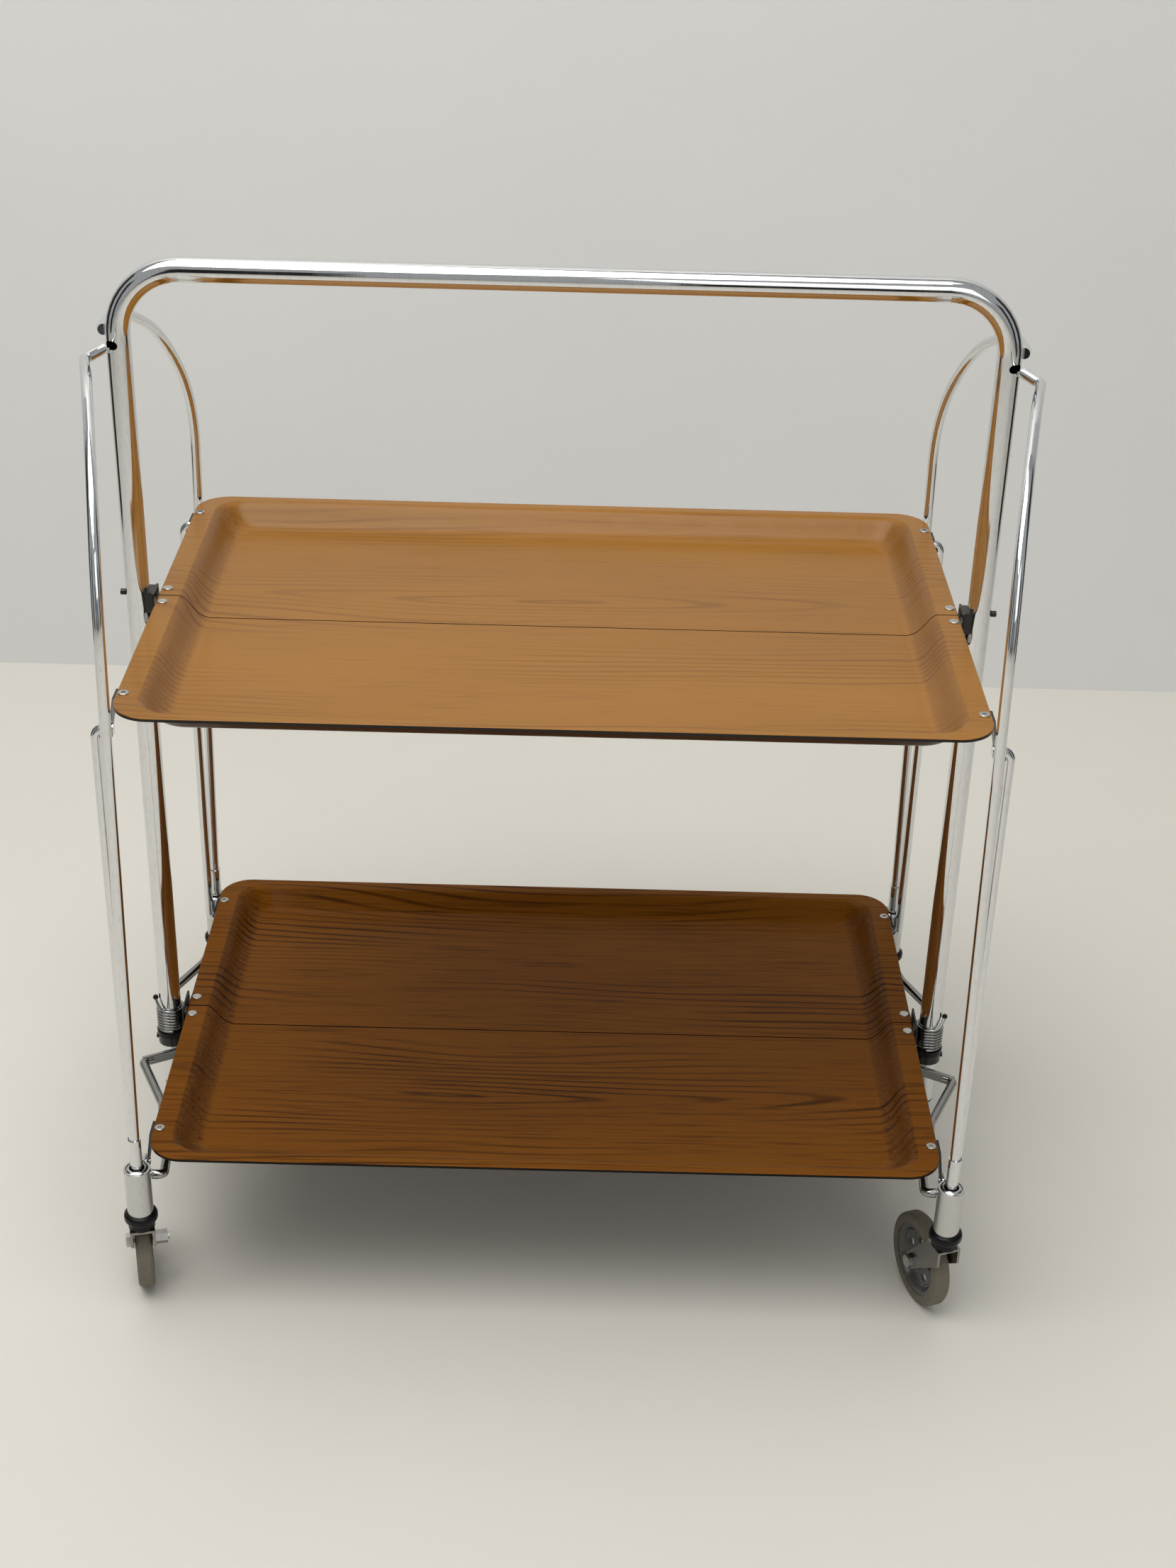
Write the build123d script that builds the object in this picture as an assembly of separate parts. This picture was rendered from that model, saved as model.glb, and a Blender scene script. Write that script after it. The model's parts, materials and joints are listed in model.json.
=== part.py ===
"""Folding serving trolley: two hinged trays on a U handle, with four legs on casters.

Millimetres, +Z up, floor at z = 0, +X to the right, front at -Y, centre at x = y = 0.
Pieces are drawn in the quarter x > 0, y > 0 and mirrored to their own side and end.
"""
import math
import os

from build123d import *

# Casters
wheel_radius = 38.0
tyre_width = 13.0
tyre_thickness = 8.5
tyre_round = 3.2
hub_clearance = 0.02
boss_width = 14.0
hub_radius_shares = (0, 0.235, 0.26, 0.29, 0.34, 0.72, 0.75, 0.79, 0.82, 0.885, 0.91, 1)
hub_width_shares = (1, 1, 0.94, 0.36, 0.18, 0.18, 0.32, 0.32, 0.2, 0.7, 0.79, 0.79)
hub_hole_circle_share = 0.53
hub_hole_width = 6.4
hub_hole_length = 9.0
hub_hole_count = 5
axle_radius = 3.0
axle_clearance = 0.06
trail = 31.0
fork_thickness = 2.0
fork_inner_width = 15.2
fork_front = 9.0
fork_back = 9.5
fork_eye_radius = 7.0
fork_back_edge_shares = (0.75, 0.66)
fork_front_edge_shares = (0.9, 0.44)
fork_front_drop = 12.0
stem_radius = 4.0
stem_clearance = 0.06
bush_collar_radius = 13.0
bush_neck_radius = 10.3
bush_neck_height = 5.7
bush_collar_height = 8.5
bush_fork_gap = 0.3
bush_round = 3.2
bolt_head_across = 10.0
bolt_head = 4.0
nut = 4.6
nut_count = 2
nut_gap = 0.1
bolt_end = 1.5
front_left_yaw = 13.0
front_right_yaw = 20.0
rear_left_yaw = 180.0
rear_right_yaw = 168.0

# Heights, from the floor up: casters, sockets, lower tray, upper tray
fork_sink = 1.0
fork_top_height = 2 * wheel_radius - fork_sink
bush_foot_height = fork_top_height + fork_thickness + bush_fork_gap
socket_foot_height = bush_foot_height + bush_neck_height + bush_collar_height
stem_reach = 13.5
stem_top_height = socket_foot_height + stem_reach
stem_end_room = 1.5
stem_bore_height = stem_top_height + stem_end_room
socket_top_drop = 14.2
socket_height = 41.3
lower_rim_height = socket_foot_height + socket_height + socket_top_drop
tray_spacing = 377.0
upper_rim_height = lower_rim_height + tray_spacing

# Trays
tray_length = 610.0
tray_width = 412.0
tray_corner_radius = 27.0
sheet = 2.5
tray_depth = 18.0
end_flange = 16.0
side_flange = 8.0
end_slope = 25.0
side_slope = 29.0
pan_corner_radius = 24.0
pan_corner_shrink = 10.0
slope_thickening = 2.2
split_gap = 1.2
edge_round = 0.7
pan_profile_shares = ((0, 0), (0.18, 0.17), (0.46, 0.67), (0.70, 0.93), (1, 1))

# Handle tube
tube_diameter = 18.0
tube_wall = 1.5
tube_outset = 15.5
tube_half_span = tray_length / 2 + tube_outset
handle_rise = 252.0
handle_bend_radius = 47.5
handle_foot_drop = 75.0
handle_foot_height = lower_rim_height - handle_foot_drop
slot_width = 10.0
slot_height = 6.5
front_slot_rise = 197.5
rear_slot_rise = 206.5
slot_turn = 62.0
cap_flange = 1.6
cap_plug = 12.0
cap_clearance = 0.05

# Fold geometry
pivot_offset = 8.0
pivot_drop = 18.5
corner_pivot_inset = 20.0
corner_pivot_offset = tray_width / 2 - corner_pivot_inset

# Hinge plates, leaves and pins
plate_inset = 13.9
plate_inner_x = tube_half_span - plate_inset
plate_thickness = 1.5
plate_half_width = 14.5
plate_rise = 5.0
plate_foot = 6.0
plate_corner = 4.0
plate_waist = 2.2
brace_plate_half_width = 18.5
leaf_gap = 0.7
leaf_outer_x = plate_inner_x - leaf_gap
leaf_thickness = 1.5
leaf_tab = 13.9
leaf_inner_x = leaf_outer_x - leaf_tab
leaf_start_y = 7.0
leaf_end_y = 19.0
leaf_eye_radius = 5.0
pin_radius = 2.5
pin_clearance = 0.05
pin_head_radius = 4.0
pin_head = 1.2
pin_play = 0.3
pin_gap = 0.05
saddle_depth = 6.0
saddle_half_width = 8.0
saddle_height = 17.0
cross_pin_radius = 1.75
cross_pin_rise = 2.0
cross_pin_reach = 13.0
cross_pin_head_radius = 2.4
cross_pin_head = 3.8
lower_cross_pin_head = 1.4
cross_pin_gap = 0.1

# Spring, collar and clamp on each tube at the lower tray
wire = 2.4
spring_gap_to_tube = 0.35
spring_pitch = 2.85
spring_turns = 7
spring_top_drop = 0.6
spring_tail_turn = 0.18
spring_tail_rise = 8.5
spring_tail_spread = 0.9
spring_tail_slope = 48.0
spring_tip_radius = 2.3
spring_tip_cover = 3.0
spring_tip_fit = 0.05
gap_points_per_turn = 48
tube_fit = 0.05
collar_height = 4.6
collar_radius = 12.3
collar_gap = 0.4
clamp_height = 8.0
clamp_radius = 11.6

# Corner brackets and rivets
bracket_thickness = 1.5
bracket_reach = 12.5
bracket_inner_x = tray_length / 2 - bracket_reach
bracket_outset = 2.5
bracket_outer_x = tray_length / 2 + bracket_outset
bracket_start_inset = 50.0
bracket_start_y = tray_width / 2 - bracket_start_inset
bracket_end_inset = 33.5
bracket_end_y = tray_width / 2 - bracket_end_inset
upper_eye_radius = 6.5
lower_eye_radius = 4.6
rivet_inset = 5.0
rivet_x = tray_length / 2 - rivet_inset
corner_rivet_inset = 38.0
corner_rivet_y = tray_width / 2 - corner_rivet_inset
centre_rivet_y = 12.4
rivet_shank_radius = 2.0
rivet_head_radius = 3.9
rivet_head = 1.1
rivet_dimple_radius = 1.6
rivet_dimple = 1.4
rivet_tail_radius = 3.0
rivet_tail = 1.0
rivet_clearance = 0.05
rivet_round_share = 0.6

# Legs
leg_outset = 8.0
leg_x = tray_length / 2 + leg_outset
leg_inset = 6.0
leg_y = tray_width / 2 - leg_inset
socket_radius = 10.1
socket_wall = 1.3
rim_ring_radius = 0.55
lug_inset = 2.4
lug_outer_x = leg_x - lug_inset
lug_thickness = 2.0
lug_reach = 19.0
lug_inner_y = leg_y - lug_reach
lug_start = 8.4
lug_outer_y = leg_y - lug_start
lug_margin = 5.5
lug_round = 3.0
stud_radius = 2.5
stud_play = 0.8
brace_stud_radius = 2.5
tie_rod_radius = 3.8
tie_rod_outset = 4.5
tie_rod_x = leg_x + tie_rod_outset
tie_rod_bend = 6.6
tie_rod_top_reach = 2.9
tie_rod_top_end_x = bracket_outer_x - tie_rod_top_reach
tie_rod_foot_reach = 5.0
tie_rod_foot_end_x = lug_outer_x - tie_rod_foot_reach
tie_rod_foot_drop = 30.0

# Stays: rod, foot ferrule and arch over to the handle
stay_radius = 4.0
ferrule_radius = 4.75
ferrule_ring_height = 1.2
ferrule_ring_radius = 5.1
stay_foot_depth = 18.0
stay_seat_gap = 0.05
ferrule_stand = 28.2
stay_mid_outset = 0.5
stay_mid_x = tray_length / 2 + stay_mid_outset
arch_start_rise = 50.0
arch_centre_y = 15.0
arch_reach = leg_y - arch_centre_y

front_arch_top = 191.0
rear_arch_top = 202.5
front_elbow_outset = 21.0
front_elbow_x = tube_half_span + front_elbow_outset
rear_elbow_outset = 15.5
rear_elbow_x = tube_half_span + rear_elbow_outset
elbow_y = 20.0
front_tip_rise = 194.5
rear_tip_rise = 205.0
front_tip_outset = 9.9
front_tip_x = tube_half_span + front_tip_outset
rear_tip_outset = 11.7
rear_tip_x = tube_half_span + rear_tip_outset
tip_y = 6.0
elbow_radius = 8.0
stay_foot_bend = 400.0
arch_tangent_share = 0.98
arch_corner_angles = (15.0, 45.0, 75.0)
arch_half_step = 15.0
front_lean_shares = (0, 0.22, 0.71)
rear_lean_shares = (0, 0.48, 0.93)

# Braces under the lower tray
brace_radius = 3.75
brace_pivot_offset = 14.0
brace_pivot_drop = 26.0
brace_eye_inset = 2.7
brace_eye_outer_x = plate_inner_x - brace_eye_inset
brace_eye_radius = 5.2
brace_eye_width = 4.6
brace_strap_height = 9.0
brace_strap_thickness = 3.6
brace_strap_round = 1.2
brace_turn_y = 27.0
brace_elbow_outset = 16.5
brace_elbow_x = tube_half_span + brace_elbow_outset
brace_elbow_y = 46.0
brace_root = 9.0
brace_mid_inset = 2.0
brace_mid_x = leg_x - brace_mid_inset
brace_mid_share = 0.515
brace_mid_y = leg_y * brace_mid_share
brace_far_inset = 16.5
brace_far_x = leg_x - brace_far_inset
brace_far_run = 35.0
brace_far_y = leg_y - brace_far_run
brace_hook_inset = 18.6
brace_hook_x = leg_x - brace_hook_inset
brace_end_inset = 9.8
brace_end_x = leg_x - brace_end_inset
brace_elbow_bend = 7.0
brace_bend = 30.0
brace_start_bend = 4.2
brace_hook_bend = 4.6

overrun = 1.0

os.makedirs("parts", exist_ok=True)


def place(shape, side, end):
    """Mirror a piece drawn at x > 0, y > 0 to its own side and end."""
    if side < 0:
        shape = mirror(shape, about=Plane.YZ)
    if end < 0:
        shape = mirror(shape, about=Plane.XZ)
    return shape


def write(name, pieces):
    """Write one node, with one or more separate solids."""
    solids = [solid for piece in pieces for solid in piece.solids()]
    body = solids[0] if len(solids) == 1 else Compound(children=solids)
    export_step(body, f"parts/{name}.step")


def rounded_slab(half_x, half_y, corner, low, high):
    """A rectangle with round corners, from low to high."""
    face = RectangleRounded(2 * half_x, 2 * half_y, corner)
    return Pos(0, 0, low) * extrude(face, high - low)


def x_rod(radius, start_x, end_x, y, z):
    """A round bar along X."""
    seat = (Align.CENTER, Align.CENTER, Align.MIN)
    bar = Cylinder(radius, end_x - start_x, rotation=(0, 90, 0), align=seat)
    return Pos(start_x, y, z) * bar


def z_rod(radius, low, high, x=0, y=0):
    """A round bar along Z."""
    bar = Cylinder(radius, high - low, align=(Align.CENTER, Align.CENTER, Align.MIN))
    return Pos(x, y, low) * bar


def block(low, high):
    """A box between two corners."""
    size = [high[i] - low[i] for i in range(3)]
    return Pos(*low) * Box(*size, align=(Align.MIN, Align.MIN, Align.MIN))


def swept_rod(points, radii, radius):
    """A round bar along straight runs joined by bends."""
    path = FilletPolyline(*points, radius=radii)
    section = Plane(origin=path @ 0, z_dir=path % 0) * Circle(radius)
    return sweep(section, path=path)


def x_plate(outline, start_x, end_x):
    """A flat plate across X, with its outline given in (y, z)."""
    face = make_face(Plane.YZ * Polyline(*outline, close=True))
    return Pos(start_x, 0, 0) * extrude(face, end_x - start_x, dir=(1, 0, 0))


# Trays
def pan(grow, drop):
    """The dished middle of a tray as a closed loft below the rim."""
    faces = []
    for across, down in pan_profile_shares:
        half_x = tray_length / 2 - end_flange - across * end_slope + grow
        half_y = tray_width / 2 - side_flange - across * side_slope + grow
        corner = pan_corner_radius - across * pan_corner_shrink + grow
        height = -down * tray_depth - drop
        faces.append(Pos(0, 0, height) * RectangleRounded(2 * half_x, 2 * half_y, corner))
    return loft(faces)


def whole_tray():
    """Pressed sheet tray with its rim top at z = 0."""
    rim = rounded_slab(tray_length / 2, tray_width / 2, tray_corner_radius, -sheet, 0)
    rim = fillet(rim.edges().group_by(Axis.Z)[-1], edge_round)
    tray = rim + pan(slope_thickening, sheet) - pan(0, 0)
    drill = rivet_shank_radius + rivet_clearance
    for side in (-1, 1):
        for y in (-corner_rivet_y, -centre_rivet_y, centre_rivet_y, corner_rivet_y):
            tray -= z_rod(drill, -sheet - overrun, overrun, side * rivet_x, y)
    return tray


def tray_half(tray, end, rim_height):
    """One half of a tray, cut along the middle line."""
    keep = block(
        (-tray_length, split_gap / 2, -tray_length),
        (tray_length, tray_width, tray_length),
    )
    if end < 0:
        keep = mirror(keep, about=Plane.XZ)
    return Pos(0, 0, rim_height) * (tray & keep)


def ear(start_x, end_x, eye_y, eye_z, eye_radius, hole_radius, top_z, near_y, far_y):
    """A hanging plate with a round eye at its foot."""
    web = x_plate(
        ((near_y, top_z), (far_y, top_z), (eye_y + eye_radius, eye_z), (eye_y - eye_radius, eye_z)),
        start_x,
        end_x,
    )
    solid = web + x_rod(eye_radius, start_x, end_x, eye_y, eye_z)
    return solid - x_rod(hole_radius, start_x - overrun, end_x + overrun, eye_y, eye_z)


def hinge_leaf():
    """Angle leaf under the rim, with its eye on the centre hinge pin."""
    top = -sheet
    tab = block((leaf_inner_x, leaf_start_y, top - leaf_thickness), (leaf_outer_x, leaf_end_y, top))
    hanging = ear(
        leaf_outer_x - leaf_thickness, leaf_outer_x, pivot_offset, -pivot_drop, leaf_eye_radius,
        pin_radius + pin_clearance, top, leaf_start_y, leaf_end_y,
    )
    drill = z_rod(rivet_shank_radius + rivet_clearance, -pivot_drop, overrun, rivet_x, centre_rivet_y)
    return tab + hanging - drill


def corner_bracket(eye_radius, hole_radius):
    """Angle bracket under a tray corner, with its eye on the leg's pivot."""
    top = -sheet
    tab = block(
        (bracket_inner_x, bracket_start_y, top - bracket_thickness),
        (bracket_outer_x, bracket_end_y, top),
    )
    tab = fillet(tab.edges().filter_by(Axis.Z).sort_by(Axis.X)[:2], plate_corner)
    hanging = ear(
        bracket_outer_x - bracket_thickness, bracket_outer_x, corner_pivot_offset, -pivot_drop,
        eye_radius, hole_radius, top, bracket_start_y, bracket_end_y,
    )
    drill = z_rod(rivet_shank_radius + rivet_clearance, -pivot_drop, overrun, rivet_x, corner_rivet_y)
    return tab + hanging - drill


def rivet(y, thickness, dimple):
    """A rivet through the rim and the bracket under it."""
    head = z_rod(rivet_head_radius, 0, rivet_head)
    head = fillet(head.edges().group_by(Axis.Z)[-1], rivet_head * rivet_round_share)
    shank = z_rod(rivet_shank_radius, -sheet - thickness, 0)
    tail = z_rod(rivet_tail_radius, -sheet - thickness - rivet_tail, -sheet - thickness)
    body = head + shank + tail
    if dimple:
        body -= z_rod(rivet_dimple_radius, rivet_head - rivet_dimple, rivet_head + overrun)
    return Pos(rivet_x, y, 0) * body


# Handle
def handle():
    """Inverted U of round tube, with its slots and pin holes."""
    top = upper_rim_height + handle_rise
    points = [
        (-tube_half_span, 0, handle_foot_height),
        (-tube_half_span, 0, top),
        (tube_half_span, 0, top),
        (tube_half_span, 0, handle_foot_height),
    ]
    outer = swept_rod(points, handle_bend_radius, tube_diameter / 2)
    inner = swept_rod(points, handle_bend_radius, tube_diameter / 2 - tube_wall)
    tube = outer - inner
    for side in (-1, 1):
        for end, rise in ((-1, front_slot_rise), (1, rear_slot_rise)):
            centre = Vector(side * tube_half_span, 0, upper_rim_height + rise)
            tube -= slot_cutter(centre, side, end)
        for height in (upper_rim_height + cross_pin_rise, lower_pin_height()):
            start, stop = sorted((side * plate_inner_x, side * (tube_half_span + tube_diameter)))
            tube -= x_rod(cross_pin_radius + pin_clearance, start, stop, 0, height)
    return tube


def slot_cutter(centre, side, end):
    """Oval cutter from the tube's axis, facing outboard and towards its own end."""
    turn = math.radians(slot_turn)
    facing = Vector(side * math.cos(turn), end * math.sin(turn), 0)
    along = Vector(-side * math.sin(turn), end * math.cos(turn), 0)
    face = Plane(origin=centre, x_dir=along, z_dir=facing) * SlotOverall(slot_width, slot_height)
    return extrude(face, tube_diameter, dir=facing)


def end_cap():
    """Plastic plug in the foot of a handle tube."""
    bore = tube_diameter / 2 - tube_wall - cap_clearance
    flange = z_rod(tube_diameter / 2, handle_foot_height - cap_flange, handle_foot_height)
    plug = z_rod(bore, handle_foot_height, handle_foot_height + cap_plug)
    return Pos(tube_half_span, 0, 0) * (flange + plug)


# Centre brackets
def spring_top():
    return lower_rim_height + spring_top_drop


def spring_foot():
    return spring_top() - spring_turns * spring_pitch - wire / 2


def collar_top():
    return spring_foot() - wire / 2 - collar_gap


def clamp_top():
    return collar_top() - collar_height - collar_gap


def lower_pin_height():
    return clamp_top() - clamp_height / 2


def plate_outline(rim, foot, half_width):
    """Wavy-edged plate outline in (y, z), waisted between its pins."""
    waist = half_width - plate_waist
    mid = rim - pivot_drop / 2
    right = [
        (half_width - plate_corner, foot),
        (half_width, foot + plate_corner),
        (half_width, rim - pivot_drop),
        (waist, mid),
        (half_width - plate_corner, rim + plate_rise),
    ]
    left = [(-y, z) for y, z in reversed(right)]
    return right + left


def hinge_plate(rim, foot, half_width, holes):
    """Centre plate inboard of the tube, with holes for the hinge pins."""
    plate = x_plate(plate_outline(rim, foot, half_width), plate_inner_x, plate_inner_x + plate_thickness)
    for y, z in holes:
        plate -= x_rod(pin_radius + pin_clearance, plate_inner_x - overrun, tube_half_span, y, z)
    return plate


def tube_core(low, high):
    return z_rod(tube_diameter / 2 + tube_fit, low, high, tube_half_span, 0)


def upper_hinge_plate():
    """Plate with a saddle pinned to the tube at the upper tray."""
    rim = upper_rim_height
    foot = rim - pivot_drop - plate_foot
    holes = [(y, rim - pivot_drop) for y in (-pivot_offset, pivot_offset)]
    plate = hinge_plate(rim, foot, plate_half_width, holes)
    back = plate_inner_x + plate_thickness
    saddle = block(
        (back, -saddle_half_width, rim + plate_rise - saddle_height),
        (back + saddle_depth, saddle_half_width, rim + plate_rise),
    )
    saddle -= tube_core(0, 2 * rim)
    pin_heads = [
        x_rod(pin_head_radius + pin_clearance, back, back + pin_head + pin_play, y, z) for y, z in holes
    ]
    for head in pin_heads:
        saddle -= head
    drill = x_rod(cross_pin_radius + pin_clearance, 0, tube_half_span, 0, rim + cross_pin_rise)
    return plate + saddle - drill


def lower_hinge_plate():
    """Plate with a clamp ring pinned round the tube below the spring."""
    rim = lower_rim_height
    brace_z = rim - brace_pivot_drop
    foot = clamp_top() - clamp_height
    holes = [(y, rim - pivot_drop) for y in (-pivot_offset, pivot_offset)]
    holes += [(y, brace_z) for y in (-brace_pivot_offset, brace_pivot_offset)]
    plate = hinge_plate(rim, foot, brace_plate_half_width, holes)
    ring = z_rod(clamp_radius, foot, clamp_top(), tube_half_span, 0)
    link = block(
        (plate_inner_x + plate_thickness, -saddle_half_width, foot),
        (tube_half_span - tube_diameter / 2, saddle_half_width, clamp_top()),
    )
    solid = plate + (ring + link - tube_core(0, rim))
    return solid - x_rod(
        cross_pin_radius + pin_clearance, 0, 2 * tube_half_span, 0, lower_pin_height()
    )


def hinge_pin(y, z, end_x):
    """Headed pin through a plate, with its free head inboard."""
    back = plate_inner_x + plate_thickness
    shaft = x_rod(pin_radius, end_x, back + pin_gap + pin_head, y, z)
    outer_head = x_rod(pin_head_radius, back + pin_gap, back + pin_gap + pin_head, y, z)
    inner_head = x_rod(pin_head_radius, end_x, end_x + pin_head, y, z)
    return shaft + outer_head + inner_head


def cross_pin(z, reach, head):
    """Pin through the plate and the tube, with its head outboard."""
    end_x = tube_half_span + reach
    shaft = x_rod(cross_pin_radius, plate_inner_x, end_x, 0, z)
    return shaft + x_rod(cross_pin_head_radius, end_x - head, end_x, 0, z)


def collar():
    ring = z_rod(collar_radius, collar_top() - collar_height, collar_top(), tube_half_span, 0)
    return ring - tube_core(0, lower_rim_height)


# Spring
def spring_radius():
    return tube_diameter / 2 + spring_gap_to_tube + wire / 2


def spring_state(turn):
    """Centre-line point and direction of the spring after a number of turns."""
    radius = spring_radius()
    angle = 2 * math.pi * turn - math.pi / 2
    point = Vector(
        tube_half_span + radius * math.cos(angle),
        radius * math.sin(angle),
        spring_foot() + spring_pitch * turn,
    )
    direction = Vector(
        -2 * math.pi * radius * math.sin(angle),
        2 * math.pi * radius * math.cos(angle),
        spring_pitch,
    )
    return point, direction.normalized()


def spring_tail_state():
    """Where the rising tail ends beside the tube, and the way it points."""
    last, _ = spring_state(spring_turns)
    radius = spring_radius() + spring_tail_spread
    angle = 2 * math.pi * spring_tail_turn - math.pi / 2
    slope = math.radians(spring_tail_slope)
    point = Vector(
        tube_half_span + radius * math.cos(angle),
        radius * math.sin(angle),
        last.Z + spring_tail_rise,
    )
    flat = math.cos(slope)
    return point, Vector(-flat * math.sin(angle), flat * math.cos(angle), math.sin(slope))


def biarc(start, start_dir, stop, stop_dir):
    """Two arcs that join two points with the given directions."""
    chord = stop - start
    both = start_dir + stop_dir
    spread = 2 * (1 - start_dir.dot(stop_dir))
    along = chord.dot(both)
    reach = (-along + math.sqrt(along * along + spread * chord.dot(chord))) / spread
    first = start + start_dir * reach
    second = stop - stop_dir * reach
    middle = (first + second) * 0.5
    return [
        Edge.make_tangent_arc(start, start_dir, middle),
        Edge.make_tangent_arc(middle, second - first, stop),
    ]


def spring():
    """Close-wound coil, with a straight foot and a tail that rises outboard."""
    steps = int(4 * spring_turns)
    states = [spring_state(step / 4) for step in range(steps + 1)]
    states.append(spring_tail_state())
    start, start_dir = states[0]
    stop, stop_dir = states[-1]
    edges = [Edge.make_line(start - start_dir * wire, start)]
    for (here, here_dir), (there, there_dir) in zip(states, states[1:]):
        edges += biarc(here, here_dir, there, there_dir)
    edges.append(Edge.make_line(stop, stop + stop_dir * wire))
    path = Wire(edges)
    section = Plane(origin=path @ 0, z_dir=path % 0) * Circle(wire / 2)
    return sweep(section, path=path), path


def spring_tip():
    """Plastic ball pressed over the end of the tail."""
    stop, stop_dir = spring_tail_state()
    end = stop + stop_dir * wire
    ball = Pos(end.X, end.Y, end.Z) * Sphere(spring_tip_radius)
    bore = Plane(origin=end - stop_dir * spring_tip_cover, z_dir=stop_dir)
    bore *= Circle(wire / 2 + spring_tip_fit)
    return ball - extrude(bore, spring_tip_cover + spring_tip_fit, dir=stop_dir)


def spring_gap(path):
    """Least gap between one part of the coil and the next, measured on points."""
    count = spring_turns * gap_points_per_turn
    points = [path @ (i / count) for i in range(count + 1)]
    skip = gap_points_per_turn // 2
    least = min(
        (points[i] - points[j]).length
        for i in range(len(points))
        for j in range(i + skip, len(points))
    )
    return least - wire


# Legs
def socket():
    """Caster socket: open tube with a rolled rim, a lug and two studs."""
    top = lower_rim_height - socket_top_drop
    foot = top - socket_height
    wall = z_rod(socket_radius, foot, top, leg_x, leg_y)
    rim = Torus(socket_radius - rim_ring_radius / 2, rim_ring_radius)
    rim = Pos(leg_x, leg_y, top - rim_ring_radius) * rim
    pivot_z = lower_rim_height - pivot_drop
    foot_z = lower_rim_height - tie_rod_foot_drop
    lug_inner_x = lug_outer_x - lug_thickness
    lug = block(
        (lug_inner_x, lug_inner_y, foot_z - lug_margin),
        (lug_outer_x, lug_outer_y, pivot_z + lug_margin),
    )
    lug = fillet(lug.edges().filter_by(Axis.X).group_by(Axis.Y)[0], lug_round)
    stud_end = bracket_outer_x - bracket_thickness - stud_play
    stud = x_rod(stud_radius, stud_end, lug_outer_x, corner_pivot_offset, pivot_z)
    brace_y = corner_pivot_offset - pivot_offset + brace_pivot_offset
    brace_z = lower_rim_height - brace_pivot_drop
    stud_inner_x = brace_hook_x + brace_radius + stud_play
    brace_stud = x_rod(brace_stud_radius, stud_inner_x, leg_x, brace_y, brace_z)
    bore = z_rod(socket_radius - socket_wall, foot - overrun, top + overrun, leg_x, leg_y)
    rod_hole = x_rod(tie_rod_radius + pin_clearance, 0, 2 * leg_x, corner_pivot_offset, foot_z)
    return wall + rim + lug + stud + brace_stud - bore - rod_hole


def bush():
    """Plastic bush: plug that carries the stay's foot, bulging collar and neck over the fork."""
    socket_foot = lower_rim_height - socket_top_drop - socket_height
    neck_foot = fork_top_height + fork_thickness + bush_fork_gap
    collar_foot = neck_foot + bush_neck_height
    ring = z_rod(bush_collar_radius, collar_foot, socket_foot)
    ring = fillet(ring.edges().group_by(Axis.Z)[0] + ring.edges().group_by(Axis.Z)[-1], bush_round)
    plug_radius = socket_radius - socket_wall - cap_clearance
    stay_foot = lower_rim_height - socket_top_drop - stay_foot_depth
    plug = z_rod(plug_radius, socket_foot - overrun, stay_foot - ferrule_radius - stay_seat_gap)
    neck = z_rod(bush_neck_radius, neck_foot, collar_foot + overrun)
    solid = ring + plug + neck
    solid -= z_rod(stem_radius + stem_clearance, 0, stem_bore_height)
    return Pos(leg_x, leg_y, 0) * solid


def tie_rod():
    """Rod beside the stay, hooked through the upper bracket and the lug."""
    top = upper_rim_height - pivot_drop
    foot = lower_rim_height - tie_rod_foot_drop
    points = [
        (tie_rod_top_end_x, corner_pivot_offset, top),
        (tie_rod_x, corner_pivot_offset, top),
        (tie_rod_x, corner_pivot_offset, foot),
        (tie_rod_foot_end_x, corner_pivot_offset, foot),
    ]
    return swept_rod(points, tie_rod_bend, tie_rod_radius)


def arch_corners(top_rise, elbow_x, lean_shares):
    """Corners of a line round the arch that touches a quarter oval at each run."""
    height = top_rise - arch_start_rise
    half = math.cos(math.radians(arch_half_step))
    corners = []
    for degrees, lean in zip(arch_corner_angles, lean_shares):
        angle = math.radians(degrees)
        y = arch_centre_y + arch_reach * math.cos(angle) / half
        z = arch_start_rise + height * math.sin(angle) / half
        x = stay_mid_x + (elbow_x - stay_mid_x) * lean
        corners.append(Vector(x, y, upper_rim_height + z))
    return corners


def bend_radii(points, limits):
    """Radius at each corner that uses its share of the shorter run beside it."""
    radii = []
    for before, corner, after, limit in zip(points, points[1:], points[2:], limits):
        turn = math.radians((corner - before).get_angle(after - corner))
        run = min((corner - before).length, (after - corner).length)
        radii.append(min(limit, arch_tangent_share * run / 2 / math.tan(turn / 2)))
    return radii


def stay(top_rise, elbow_x, tip_rise, tip_x, lean_shares):
    """Bent rod from its ferrule in the socket up to the slot in the handle."""
    socket_top = lower_rim_height - socket_top_drop
    foot_z = socket_top - stay_foot_depth
    ring_z = socket_top + ferrule_stand
    points = [
        Vector(leg_x, leg_y, foot_z),
        Vector(leg_x, leg_y, ring_z),
        *arch_corners(top_rise, elbow_x, lean_shares),
        Vector(elbow_x, elbow_y, upper_rim_height + top_rise),
        Vector(tip_x, tip_y, upper_rim_height + tip_rise),
    ]
    far = 2 * stay_foot_bend
    radii = bend_radii(points, (stay_foot_bend, far, far, far, elbow_radius))
    rod = swept_rod(points, radii, stay_radius)
    ferrule = z_rod(ferrule_radius, foot_z, ring_z, leg_x, leg_y)
    ferrule += Pos(leg_x, leg_y, foot_z) * Sphere(ferrule_radius)
    ring = z_rod(ferrule_ring_radius, ring_z - ferrule_ring_height, ring_z, leg_x, leg_y)
    return rod + ferrule + ring


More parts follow.
